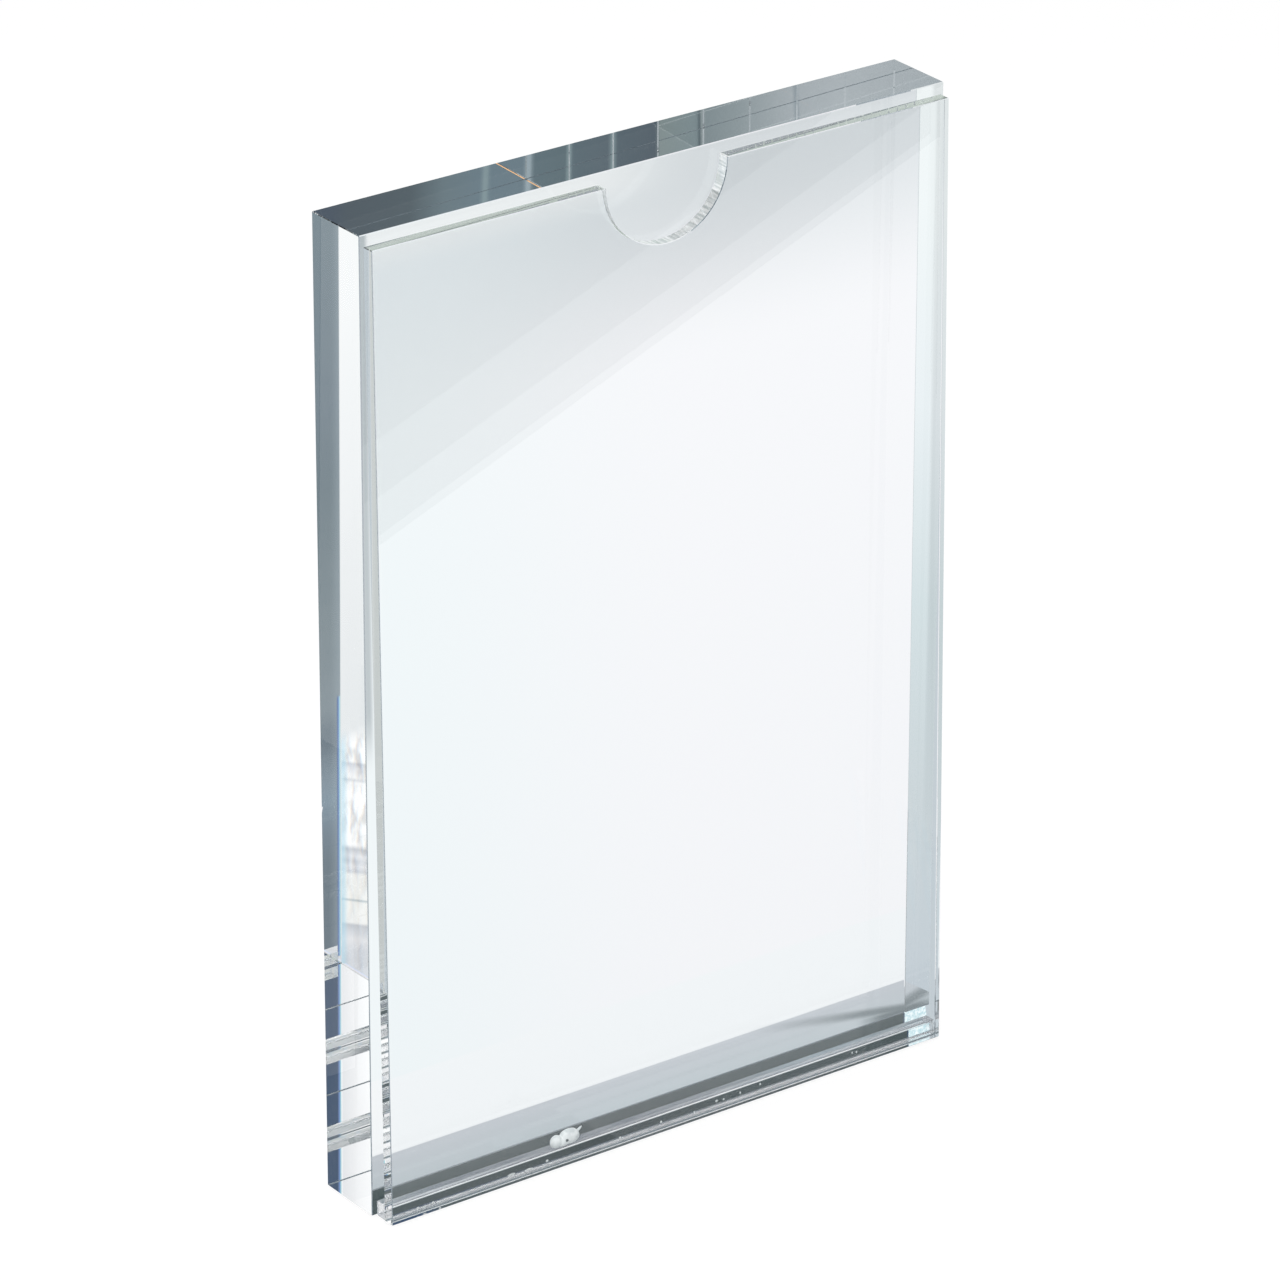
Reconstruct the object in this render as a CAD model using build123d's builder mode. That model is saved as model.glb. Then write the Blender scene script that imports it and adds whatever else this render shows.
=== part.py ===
from build123d import *
from math import asin, cos, degrees, tan
import os

# A free-standing clear photo frame. A thick block stands by itself. A thin panel leans back
# against its face, and a spacer strip is cemented between the two along the foot, so that a
# print drops in from above and is pinched at the top. A half-round notch in the panel lets a
# thumb slide the print out.
# Sizes are in millimetres. X runs across the frame, Y from its front to its back and Z up.
# The origin is the middle of the footprint, on the surface that the frame stands on.

# Block, cut from thick sheet and polished on every edge
block_width = 101.6
block_height = 152.4
block_thickness = 11.5
block_arris = 0.12

# Thin sheet, which both the panel and the strip are cut from
sheet_thickness = 2.0

# Front panel, narrower and lower than the block
panel_side_inset = 0.65
panel_top_drop = 1.7
panel_arris = 0.1
panel_rest_gap = 0.1
notch_radius = 10.5

# Spacer strip along the foot
strip_height = 2.4
strip_end_inset = 0.15
strip_edge_radius = 0.25

# Cement on both faces of the strip
cement_thickness = 0.12
cement_end_inset = 0.6

# Sizes that follow from those above
panel_width = block_width - 2 * panel_side_inset
panel_height = block_height - panel_top_drop
strip_width = panel_width - 2 * strip_end_inset
cement_width = strip_width - 2 * cement_end_inset
foot_gap = sheet_thickness + 2 * cement_thickness
lean = asin((foot_gap - panel_rest_gap) / panel_height)

# Places of the faces along Y, so that the footprint is centred on the origin
overall_depth = block_thickness + foot_gap + sheet_thickness * cos(lean)
block_front = overall_depth / 2 - block_thickness
strip_back = block_front - cement_thickness
strip_front = strip_back - sheet_thickness
panel_foot = block_front - foot_gap

# The cement lies on the flat of the strip's faces, between its rounded edges
cement_foot = strip_edge_radius
cement_top = strip_height - strip_edge_radius


def panel_back_at(height):
    """The place along Y of the leaning panel's back face at a height."""
    return panel_foot + height * tan(lean)


# Planes that look at the frame from the front, with X across and Z up
block_face = Plane.XZ.offset(-block_front)
panel_face = Plane.XZ.offset(-panel_foot).rotated((-degrees(lean), 0, 0))

with BuildPart() as block:
    with BuildSketch(block_face):
        Rectangle(block_width, block_height, align=(Align.CENTER, Align.MIN))
    extrude(amount=-block_thickness)
    chamfer(block.edges(), length=block_arris)
block.part.label = "block"

with BuildPart() as front_panel:
    with BuildSketch(panel_face):
        Rectangle(panel_width, panel_height, align=(Align.CENTER, Align.MIN))
        with Locations((0, panel_height)):
            Circle(notch_radius, mode=Mode.SUBTRACT)
    extrude(amount=sheet_thickness)
    chamfer(front_panel.edges(), length=panel_arris)
front_panel.part.label = "front_panel"

with BuildPart() as spacer_strip:
    with BuildSketch(Plane.YZ):
        with Locations((strip_back, 0)):
            Rectangle(sheet_thickness, strip_height, align=(Align.MAX, Align.MIN))
    extrude(amount=strip_width / 2, both=True)
    fillet(spacer_strip.edges().filter_by(Axis.X), radius=strip_edge_radius)
spacer_strip.part.label = "spacer_strip"

with BuildPart() as rear_cement:
    with BuildSketch(Plane.YZ):
        with BuildLine():
            Polyline(
                (block_front, cement_foot),
                (block_front, cement_top),
                (strip_back, cement_top),
                (strip_back, cement_foot),
                close=True,
            )
        make_face()
    extrude(amount=cement_width / 2, both=True)
rear_cement.part.label = "rear_cement"

# The front film takes up the panel's lean, so it thins towards its top
with BuildPart() as front_cement:
    with BuildSketch(Plane.YZ):
        with BuildLine():
            Polyline(
                (strip_front, cement_foot),
                (strip_front, cement_top),
                (panel_back_at(cement_top), cement_top),
                (panel_back_at(cement_foot), cement_foot),
                close=True,
            )
        make_face()
    extrude(amount=cement_width / 2, both=True)
front_cement.part.label = "front_cement"

os.makedirs("parts", exist_ok=True)
export_step(block.part, "parts/block.step")
export_step(front_panel.part, "parts/front_panel.step")
export_step(spacer_strip.part, "parts/spacer_strip.step")
export_step(rear_cement.part, "parts/rear_cement.step")
export_step(front_cement.part, "parts/front_cement.step")

print("lean of the panel in degrees", round(degrees(lean), 3))
print("overall depth", round(overall_depth, 3))
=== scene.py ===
"""Dresses a free-standing clear block photo frame and stands it in a pale studio.

The frame is a thick clear block, a thin clear panel that leans back against it, and a strip that
is cemented between the two along the foot. Lengths are in metres and angles in radians.
"""

import logging
import math
from dataclasses import dataclass
from enum import Enum
from typing import Callable, Sequence, Union

import bmesh
import bpy
from mathutils import Matrix, Vector


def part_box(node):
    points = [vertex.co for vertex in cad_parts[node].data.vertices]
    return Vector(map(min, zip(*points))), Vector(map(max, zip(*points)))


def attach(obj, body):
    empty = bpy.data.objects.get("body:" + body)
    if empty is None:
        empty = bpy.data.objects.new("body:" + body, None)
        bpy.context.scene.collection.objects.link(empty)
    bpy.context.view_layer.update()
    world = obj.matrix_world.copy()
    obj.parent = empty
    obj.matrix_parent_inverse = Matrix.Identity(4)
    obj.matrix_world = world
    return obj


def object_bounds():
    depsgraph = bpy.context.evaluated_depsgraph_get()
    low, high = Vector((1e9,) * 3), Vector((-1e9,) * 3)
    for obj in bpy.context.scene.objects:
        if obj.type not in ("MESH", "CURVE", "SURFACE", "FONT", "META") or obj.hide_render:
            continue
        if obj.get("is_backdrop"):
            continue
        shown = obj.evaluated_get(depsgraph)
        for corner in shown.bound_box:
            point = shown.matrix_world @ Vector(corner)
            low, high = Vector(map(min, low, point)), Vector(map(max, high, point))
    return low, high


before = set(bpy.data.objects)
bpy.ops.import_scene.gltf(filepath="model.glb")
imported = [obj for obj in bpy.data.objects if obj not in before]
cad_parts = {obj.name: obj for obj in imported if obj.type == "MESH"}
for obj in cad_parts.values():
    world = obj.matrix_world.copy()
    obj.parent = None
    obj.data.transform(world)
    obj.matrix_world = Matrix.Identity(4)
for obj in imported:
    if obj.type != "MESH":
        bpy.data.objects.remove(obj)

LOG = logging.getLogger("block_frame")

MM = 0.001
BODY = "root"

Colour = tuple[float, float, float]
Place = tuple[float, float, float]
Socket = bpy.types.NodeSocket
Source = Union[float, Socket]


class Shown(Enum):
    """Which sides of a studio card show its tone."""

    BOTH_SIDES = "both sides"
    FRONT_ONLY = "only the side that its normal points from"


@dataclass(frozen=True)
class Build:
    """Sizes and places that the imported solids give.

    Args:
        half_width: half the block's width.
        front: the block's front face along Y.
        back: the block's back face along Y.
        height: the block's height.
        strip_top: the height of the spacer strip.
        cement_foot: the lower edge of the cement films.
        cement_top: the upper edge of the cement films.
        cement_half: half the cement's width.
        strip_front: the strip's front face along Y.
        panel_half: half the panel's width.
        panel_front: the panel's lowest place along Y.
        panel_foot: the panel's back face along Y, at the foot.
        panel_top: the height of the panel's top.
    """

    half_width: float
    front: float
    back: float
    height: float
    strip_top: float
    cement_foot: float
    cement_top: float
    cement_half: float
    strip_front: float
    panel_half: float
    panel_front: float
    panel_foot: float
    panel_top: float

    @classmethod
    def from_frame(cls) -> "Build":
        """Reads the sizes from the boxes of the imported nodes.

        Returns:
            The sizes of this frame.
        """
        block_low, block_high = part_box("block")
        panel_low, panel_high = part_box("front_panel")
        strip_low, strip_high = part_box("spacer_strip")
        film_low, film_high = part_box("rear_cement")
        front_film_low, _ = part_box("front_cement")
        return cls(
            half_width=block_high.x,
            front=block_low.y,
            back=block_high.y,
            height=block_high.z,
            strip_top=strip_high.z,
            cement_foot=film_low.z,
            cement_top=film_high.z,
            cement_half=film_high.x,
            strip_front=strip_low.y,
            panel_half=panel_high.x,
            panel_front=panel_low.y,
            panel_foot=front_film_low.y,
            panel_top=panel_high.z,
        )


class NodeGraph:
    """A material's or a world's node tree, with short calls to add and join nodes."""

    def __init__(self, owner: Union[bpy.types.Material, bpy.types.World]) -> None:
        """Empties the owner's node tree and keeps it.

        Args:
            owner: the material or the world.
        """
        owner.use_nodes = True
        self.tree = owner.node_tree
        self.tree.nodes.clear()

    def node(self, kind: str, **settings: object) -> bpy.types.Node:
        """Adds a node.

        Args:
            kind: the node's type without its ShaderNode prefix.
            **settings: attributes to set on the node.

        Returns:
            The new node.
        """
        made = self.tree.nodes.new("ShaderNode" + kind)
        for name, value in settings.items():
            setattr(made, name, value)
        return made

    def feed(self, socket: Socket, source: object) -> None:
        """Links a socket to another, or sets its value.

        Args:
            socket: the input.
            source: the socket to link from, or the value.
        """
        if isinstance(source, Socket):
            self.tree.links.new(source, socket)
        elif isinstance(source, (tuple, list)) and len(source) == 3 and socket.type == "RGBA":
            socket.default_value = (*source, 1.0)
        else:
            socket.default_value = source

    def maths(
        self, operation: str, first: Source, second: Source = 0.0, third: Source = 0.0
    ) -> Socket:
        """Adds a Math node.

        Args:
            operation: the node's operation.
            first: the first input.
            second: the second input.
            third: the third input.

        Returns:
            The node's output.
        """
        made = self.node("Math", operation=operation)
        for socket, source in zip(made.inputs, (first, second, third)):
            self.feed(socket, source)
        return made.outputs[0]

    def within(self, value: Source, low: float, high: float) -> Socket:
        """Gives 1 where a value lies between two limits, and 0 elsewhere.

        Args:
            value: the value to test.
            low: the lower limit.
            high: the upper limit.

        Returns:
            The test's output.
        """
        above = self.maths("GREATER_THAN", value, low)
        below = self.maths("LESS_THAN", value, high)
        return self.maths("MULTIPLY", above, below)

    def all_of(self, *tests: Source) -> Socket:
        """Gives the product of tests, which is 1 where all of them hold.

        Args:
            *tests: sockets or numbers from 0 to 1.

        Returns:
            The product.
        """
        product = tests[0]
        for test in tests[1:]:
            product = self.maths("MULTIPLY", product, test)
        return product

    def opposite(self, test: Source) -> Socket:
        """Gives 1 less a value, which turns a test round."""
        return self.maths("SUBTRACT", 1.0, test)

    def any_of(self, *tests: Source) -> Socket:
        """Gives the largest of several tests, which is 1 where any of them holds.

        Args:
            *tests: sockets or numbers from 0 to 1.

        Returns:
            The largest.
        """
        largest = tests[0]
        for test in tests[1:]:
            largest = self.maths("MAXIMUM", largest, test)
        return largest

    def ramp(self, value: Source, start: float, end: float, smooth: bool = True) -> Socket:
        """Maps a value to 0 at start and 1 at end, and holds it outside them.

        Args:
            value: the value to map.
            start: where the result is 0.
            end: where the result is 1.
            smooth: whether the result eases in and out.

        Returns:
            The mapped value.
        """
        kind = "SMOOTHSTEP" if smooth else "LINEAR"
        made = self.node("MapRange", interpolation_type=kind, clamp=True)
        for socket, source in zip(made.inputs, (value, start, end, 0.0, 1.0)):
            self.feed(socket, source)
        return made.outputs[0]

    def gradient(self, value: Source, stops: Sequence[tuple[float, Colour]]) -> Socket:
        """Blends from colour to colour as a value grows.

        Args:
            value: the value to follow.
            stops: values in rising order, each with its colour.

        Returns:
            The colour.
        """
        start, end = stops[0][0], stops[-1][0]
        made = self.node("ValToRGB")
        self.feed(made.inputs[0], self.ramp(value, start, end, smooth=False))
        elements = made.color_ramp.elements
        for place, _ in stops[1:-1]:
            elements.new((place - start) / (end - start))
        for element, (_, colour) in zip(elements, stops):
            element.color = (*colour, 1.0)
        return made.outputs[0]

    def mix_colour(self, share: Source, first: object, second: object) -> Socket:
        """Mixes two colours.

        Args:
            share: the share of the second colour.
            first: the first colour.
            second: the second colour.

        Returns:
            The mixed colour.
        """
        made = self.node("Mix", data_type="RGBA")
        self.feed(made.inputs[0], share)
        self.feed(made.inputs[6], first)
        self.feed(made.inputs[7], second)
        return made.outputs[2]

    def shader(self, kind: str, colour: object = (1.0, 1.0, 1.0)) -> Socket:
        """Adds a shader that needs no more than a colour.

        Args:
            kind: the node's type without its ShaderNode prefix.
            colour: the colour.

        Returns:
            The shader.
        """
        made = self.node(kind)
        self.feed(made.inputs["Color"], colour)
        return made.outputs[0]

    def mix_shader(self, share: Source, first: Socket, second: Socket) -> Socket:
        """Mixes two shaders.

        Args:
            share: the share of the second shader.
            first: the first shader.
            second: the second shader.

        Returns:
            The mixed shader.
        """
        made = self.node("MixShader")
        self.feed(made.inputs[0], share)
        self.feed(made.inputs[1], first)
        self.feed(made.inputs[2], second)
        return made.outputs[0]

    def split(self, vector: Socket) -> tuple[Socket, Socket, Socket]:
        """Splits a vector into X, Y and Z.

        Args:
            vector: the vector.

        Returns:
            The three sockets.
        """
        parts = self.node("SeparateXYZ")
        self.feed(parts.inputs[0], vector)
        return parts.outputs[0], parts.outputs[1], parts.outputs[2]

    def place(self) -> tuple[Socket, Socket, Socket]:
        """Gives the shaded point's X, Y and Z in the object's own frame."""
        return self.split(self.node("TexCoord").outputs["Object"])

    def facing(self) -> Socket:
        """Gives how far the flat face turns toward the front or the back, from 0 to 1."""
        _, depth, _ = self.split(self.node("NewGeometry").outputs["True Normal"])
        return self.maths("ABSOLUTE", depth)

    def grain(self, scale: float, stretch: Place = (1.0, 1.0, 1.0)) -> Socket:
        """Gives a noise over the object's own frame.

        Args:
            scale: how fine the noise is, in patches to the metre.
            stretch: how much of that fineness X, Y and Z keep.

        Returns:
            The noise, about 0.5 in the middle.
        """
        stretched = self.node("VectorMath", operation="MULTIPLY")
        self.feed(stretched.inputs[0], self.node("TexCoord").outputs["Object"])
        self.feed(stretched.inputs[1], stretch)
        noise = self.node("TexNoise")
        self.feed(noise.inputs["Vector"], stretched.outputs[0])
        self.feed(noise.inputs["Scale"], scale)
        return noise.outputs[0]

    def by_ray(self) -> tuple[Socket, Socket]:
        """Tells which rays look: those from the camera, and those bent or mirrored on the way.

        Returns:
            1 for camera rays, and 1 for bent or mirrored rays.
        """
        rays = self.node("LightPath")
        bent = self.any_of(rays.outputs["Is Transmission Ray"], rays.outputs["Is Glossy Ray"])
        return rays.outputs["Is Camera Ray"], bent

    def finish(self, shader: Socket, world: bool = False) -> None:
        """Sends a shader to the output."""
        output = self.node("OutputWorld" if world else "OutputMaterial")
        self.feed(output.inputs["Surface"], shader)


@dataclass(frozen=True)
class ClearAcrylic:
    """Polished cast acrylic, joined without a seam where the cement wets it.

    Args:
        name: the material's name.
        build: the sizes that say where the cement is.
        colour: what the plastic lets through at each face.
        ior: the refractive index of acrylic.
        lamp_share: how much of a lamp's light passes each face.
    """

    name: str
    build: Build
    colour: Colour = (0.985, 0.995, 1.0)
    ior: float = 1.49
    lamp_share: float = 0.93

    def wetted(self, graph: NodeGraph) -> Socket:
        """Finds the parts of the flat faces that the cement touches.

        Args:
            graph: the material's graph.

        Returns:
            1 on the wetted faces and 0 elsewhere.
        """
        across, depth, height = graph.place()
        flat = graph.maths("GREATER_THAN", graph.facing(), 0.99)
        side = graph.maths("LESS_THAN", graph.maths("ABSOLUTE", across), self.build.cement_half)
        band = graph.within(height, self.build.cement_foot, self.build.cement_top)
        joint_front = self.build.strip_front - 0.2 * MM
        joint = graph.within(depth, joint_front, self.build.front + 0.02 * MM)
        return graph.all_of(flat, side, band, joint)

    def roughness(self, graph: NodeGraph) -> Source:
        """Gives the roughness of the faces that touch air, from the material's graph."""
        return 0.0

    def edges(self, graph: NodeGraph, glass: Socket) -> Socket:
        """Gives the cut edges their finish, and leaves the clear faces' shader as it is."""
        return glass

    def make(self) -> bpy.types.Material:
        """Makes the material.

        Returns:
            The material.
        """
        material = bpy.data.materials.new(self.name)
        graph = NodeGraph(material)
        body = graph.node("BsdfPrincipled")
        graph.feed(body.inputs["Base Color"], self.colour)
        graph.feed(body.inputs["Roughness"], self.roughness(graph))
        graph.feed(body.inputs["IOR"], self.ior)
        graph.feed(body.inputs["Transmission Weight"], 1.0)
        cut = self.edges(graph, body.outputs[0])
        joined = graph.mix_shader(self.wetted(graph), cut, graph.shader("BsdfTransparent"))
        shade = graph.shader("BsdfTransparent", (self.lamp_share,) * 3)
        shadow = graph.node("LightPath").outputs["Is Shadow Ray"]
        graph.finish(graph.mix_shader(shadow, joined, shade))
        return material


@dataclass(frozen=True)
class ShadedArrisAcrylic(ClearAcrylic):
    """Acrylic with painted shade on its arrises along the foot and at the left end's front.

    Args:
        arris_shade: the colour of the painted shade on the arrises.
        shade_share: how much of the painted shade shows from outside.
        inner_shade_share: how much more of it shows through the plastic.
        slope: the least share of a direction that an arris faces.
    """

    arris_shade: Colour = (0.16, 0.2, 0.23)
    shade_share: float = 0.7
    inner_shade_share: float = 0.15
    slope: float = 0.3

    def arris(self, graph: NodeGraph) -> Socket:
        """Finds the arrises that carry painted shade by the way they face, from outside or through the
        plastic.

        Args:
            graph: the material's graph.

        Returns:
            1 on the dull arrises and 0 elsewhere.
        """
        shape = graph.node("NewGeometry")
        outward = graph.node("VectorMath", operation="SCALE")
        graph.feed(outward.inputs[0], shape.outputs["True Normal"])
        turned = graph.maths("MULTIPLY_ADD", shape.outputs["Backfacing"], -2.0, 1.0)
        graph.feed(outward.inputs["Scale"], turned)
        across, depth, height = graph.split(outward.outputs[0])
        slant = graph.within(graph.maths("ABSOLUTE", depth), self.slope, 0.95)
        down = graph.maths("LESS_THAN", height, -self.slope)
        forward = graph.maths("LESS_THAN", depth, -self.slope)
        left = graph.maths("LESS_THAN", across, -self.slope)
        return graph.all_of(slant, graph.any_of(down, graph.all_of(forward, left)))

    def edges(self, graph: NodeGraph, glass: Socket) -> Socket:
        """Paints shade on the arrises.

        Args:
            graph: the material's graph.
            glass: the clear faces' shader.

        Returns:
            The shader of faces and arrises.
        """
        inside = graph.node("NewGeometry").outputs["Backfacing"]
        shade_share = graph.maths("MULTIPLY_ADD", inside, self.inner_shade_share, self.shade_share)
        share = graph.maths("MULTIPLY", self.arris(graph), shade_share)
        # A dark diffuse colour is mixed into the arrises as painted shade.
        return graph.mix_shader(share, glass, graph.shader("BsdfDiffuse", self.arris_shade))


@dataclass(frozen=True)
class NotchedAcrylic(ShadedArrisAcrylic):
    """The panel's acrylic, with a machined notch.

    Args:
        notch_reach: how far from the middle of the panel's top the notch's cut face lies, at most.
        frost: how much of the machined face scatters light.
        low: the duller colour of the cutter's marks.
        high: their lighter colour.
        marks: how fine the marks are, in patches to the metre.
    """

    notch_reach: float = 10.8 * MM
    frost: float = 0.5
    low: Colour = (0.55, 0.6, 0.6)
    high: Colour = (0.95, 0.97, 0.97)
    marks: float = 2600.0

    def edges(self, graph: NodeGraph, glass: Socket) -> Socket:
        """Frosts the notch and paints shade on the arrises.

        Args:
            graph: the material's graph.
            glass: the clear faces' shader.

        Returns:
            The shader of faces and edges.
        """
        across, _, height = graph.place()
        fall = graph.maths("SUBTRACT", height, self.build.panel_top)
        square = graph.maths("MULTIPLY_ADD", across, across, graph.maths("MULTIPLY", fall, fall))
        near = graph.maths("LESS_THAN", square, self.notch_reach**2)
        cut = graph.maths("LESS_THAN", graph.facing(), 0.3)
        frosted = graph.all_of(near, cut, self.frost)
        streaks = graph.ramp(graph.grain(self.marks, (1.0, 0.06, 1.0)), 0.35, 0.65)
        scatter = graph.shader("BsdfDiffuse", graph.mix_colour(streaks, self.low, self.high))
        return super().edges(graph, graph.mix_shader(frosted, glass, scatter))


@dataclass(frozen=True)
class SawnAcrylic(ClearAcrylic):
    """Acrylic whose narrow edges keep a faint haze and pale streaks from the saw.

    Args:
        haze: the roughness of the sawn edges.
        frost: how much of a sawn edge scatters light.
        low: the duller colour of the saw's streaks.
        high: their lighter colour.
        streaks: how fine the streaks are, in patches to the metre.
    """

    haze: float = 0.2
    frost: float = 0.15
    low: Colour = (0.4, 0.42, 0.48)
    high: Colour = (0.95, 0.96, 1.0)
    streaks: float = 2200.0

    def edges(self, graph: NodeGraph, glass: Socket) -> Socket:
        """Frosts the sawn edges in streaks along the strip.

        Args:
            graph: the material's graph.
            glass: the clear faces' shader.

        Returns:
            The shader of faces and edges.
        """
        streaks = graph.ramp(graph.grain(self.streaks, (0.08, 1.0, 1.0)), 0.38, 0.62)
        scatter = graph.shader("BsdfDiffuse", graph.mix_colour(streaks, self.low, self.high))
        edge = graph.maths("LESS_THAN", graph.facing(), 0.9)
        share = graph.maths("MULTIPLY", edge, self.frost)
        return graph.mix_shader(share, glass, scatter)

    def roughness(self, graph: NodeGraph) -> Socket:
        """Makes the edges that face up, down and sideways a little rough.

        Args:
            graph: the material's graph.

        Returns:
            The roughness.
        """
        edge = graph.maths("LESS_THAN", graph.facing(), 0.5)
        return graph.maths("MULTIPLY", edge, self.haze)


@dataclass(frozen=True)
class SetCement(ClearAcrylic):
    """The set cement, as clear as the plastic, with uneven haze on its open edges.

    Args:
        haze: the most roughness that its edges have.
        grain: how fine the haze is, in patches to the metre.
    """

    haze: float = 0.15
    grain: float = 900.0

    def roughness(self, graph: NodeGraph) -> Socket:
        """Spreads the haze in patches over the material's graph."""
        return graph.maths("MULTIPLY", graph.grain(self.grain), self.haze)


@dataclass(frozen=True)
class MilkyCement:
    """Cement that set full of air, white to the eye, with a pinhole where it was squeezed out.

    Args:
        name: the material's name.
        pinhole: the pinhole's place.
        pinhole_radius: the pinhole's size.
        pale: its lighter colour.
        dull: its duller colour.
        pinhole_shade: the dark colour painted at the pinhole, painted shade where the lumps have no hole.
        patches: how fine the change between them is, in patches to the metre.
        roughness: the roughness of its skin.
        painted_glow: how strongly it glows in its own colour, painted light that stands in for light
            scattered inside it.
    """

    name: str
    pinhole: Vector
    pinhole_radius: float = 0.3 * MM
    pale: Colour = (0.84, 0.87, 0.87)
    dull: Colour = (0.62, 0.66, 0.67)
    pinhole_shade: Colour = (0.05, 0.07, 0.08)
    patches: float = 700.0
    roughness: float = 0.35
    painted_glow: float = 0.14

    def make(self) -> bpy.types.Material:
        """Makes the material.

        Returns:
            The material.
        """
        material = bpy.data.materials.new(self.name)
        graph = NodeGraph(material)
        share = graph.ramp(graph.grain(self.patches), 0.35, 0.6)
        milk = graph.mix_colour(share, self.dull, self.pale)
        reach = graph.node("VectorMath", operation="DISTANCE")
        flat = graph.node("VectorMath", operation="MULTIPLY")
        graph.feed(flat.inputs[0], graph.node("TexCoord").outputs["Object"])
        graph.feed(flat.inputs[1], (1.0, 0.0, 1.0))
        graph.feed(reach.inputs[0], flat.outputs[0])
        graph.feed(reach.inputs[1], (self.pinhole.x, 0.0, self.pinhole.z))
        # The pinhole is a dark disc of painted shade, since the lumps have no hole in them.
        solid = graph.ramp(reach.outputs["Value"], 0.6 * self.pinhole_radius, self.pinhole_radius)
        colour = graph.mix_colour(solid, self.pinhole_shade, milk)
        body = graph.node("BsdfPrincipled")
        graph.feed(body.inputs["Base Color"], colour)
        graph.feed(body.inputs["Roughness"], self.roughness)
        # Emission in the cement's own colour is painted light, in place of light scattered inside it.
        graph.feed(body.inputs["Emission Color"], colour)
        graph.feed(body.inputs["Emission Strength"], self.painted_glow)
        graph.finish(body.outputs[0])
        material.cycles.emission_sampling = "NONE"
        return material


def dress(node: str, finish: bpy.types.Material) -> None:
    """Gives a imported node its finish, in each of its material slots.

    Args:
        node: the node's name.
        finish: the material.
    """
    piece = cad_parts[node]
    if not piece.material_slots:
        piece.data.materials.append(finish)
    for place in piece.material_slots:
        place.material = finish
    LOG.info("dressed %s", node)


def flat_mesh(name: str, outlines: Sequence[Sequence[Place]]) -> bpy.types.Object:
    """Makes one piece out of flat faces.

    Args:
        name: the object's name.
        outlines: each face's corners, in order.

    Returns:
        The object, linked to the scene.
    """
    corners = [tuple(corner) for outline in outlines for corner in outline]
    faces = []
    for outline in outlines:
        first = sum(len(face) for face in faces)
        faces.append(tuple(range(first, first + len(outline))))
    mesh = bpy.data.meshes.new(name)
    mesh.from_pydata(corners, [], faces)
    piece = bpy.data.objects.new(name, mesh)
    bpy.context.scene.collection.objects.link(piece)
    return piece


def level_square(half: float, height: float) -> list[Place]:
    """Gives the corners of a level square about the origin, with its normal up.

    Args:
        half: half its width.
        height: its height.

    Returns:
        The corners.
    """
    return [(-half, -half, height), (half, -half, height), (half, half, height), (-half, half, height)]


def upright(
    start: tuple[float, float], end: tuple[float, float], low: float, high: float
) -> list[Place]:
    """Gives the corners of an upright rectangle, with its normal to the right of start to end.

    Args:
        start: where its foot starts, along X and Y.
        end: where its foot ends, along X and Y.
        low: the height of its foot.
        high: the height of its top.

    Returns:
        The corners.
    """
    return [(*start, low), (*end, low), (*end, high), (*start, high)]


@dataclass(frozen=True)
class Blob:
    """A rounded lump.

    Args:
        middle: its middle.
        half: its half sizes along X, Y and Z.
        tilt: its turn about Y.
    """

    middle: Vector
    half: Vector
    tilt: float = 0.0


def blob_mesh(
    name: str, blobs: Sequence[Blob], finish: bpy.types.Material, rings: int = 12
) -> bpy.types.Object:
    """Makes one piece out of rounded lumps that ride on the frame.

    Args:
        name: the object's name.
        blobs: the lumps.
        finish: the material.
        rings: how many rings of faces a lump has.

    Returns:
        The piece.
    """
    shape = bmesh.new()
    for blob in blobs:
        size = Matrix.Diagonal((*blob.half, 1.0))
        turn = Matrix.Rotation(blob.tilt, 4, "Y")
        place = Matrix.Translation(blob.middle) @ turn @ size
        bmesh.ops.create_uvsphere(
            shape, u_segments=2 * rings, v_segments=rings, radius=1.0, matrix=place
        )
    for face in shape.faces:
        face.smooth = True
    mesh = bpy.data.meshes.new(name)
    shape.to_mesh(mesh)
    shape.free()
    mesh.materials.append(finish)
    piece = bpy.data.objects.new(name, mesh)
    bpy.context.scene.collection.objects.link(piece)
    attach(piece, BODY)
    LOG.info("made %s out of %d lumps", name, len(blobs))
    return piece


@dataclass(frozen=True)
class ClearBlock:
    """The thick block that stands by itself."""

    build: Build

    def dress(self) -> None:
        """Gives the block its polished acrylic."""
        dress("block", ShadedArrisAcrylic("block_acrylic", self.build).make())


@dataclass(frozen=True)
class FrontPanel:
    """The thin panel that leans back against the block."""

    build: Build

    def dress(self) -> None:
        """Gives the panel its polished acrylic."""
        dress("front_panel", NotchedAcrylic("panel_acrylic", self.build).make())


@dataclass(frozen=True)
class SpacerStrip:
    """The strip along the foot, sawn from the panel's sheet."""

    build: Build

    def dress(self) -> None:
        """Gives the strip acrylic with sawn edges."""
        dress("spacer_strip", SawnAcrylic("strip_acrylic", self.build).make())


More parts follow.
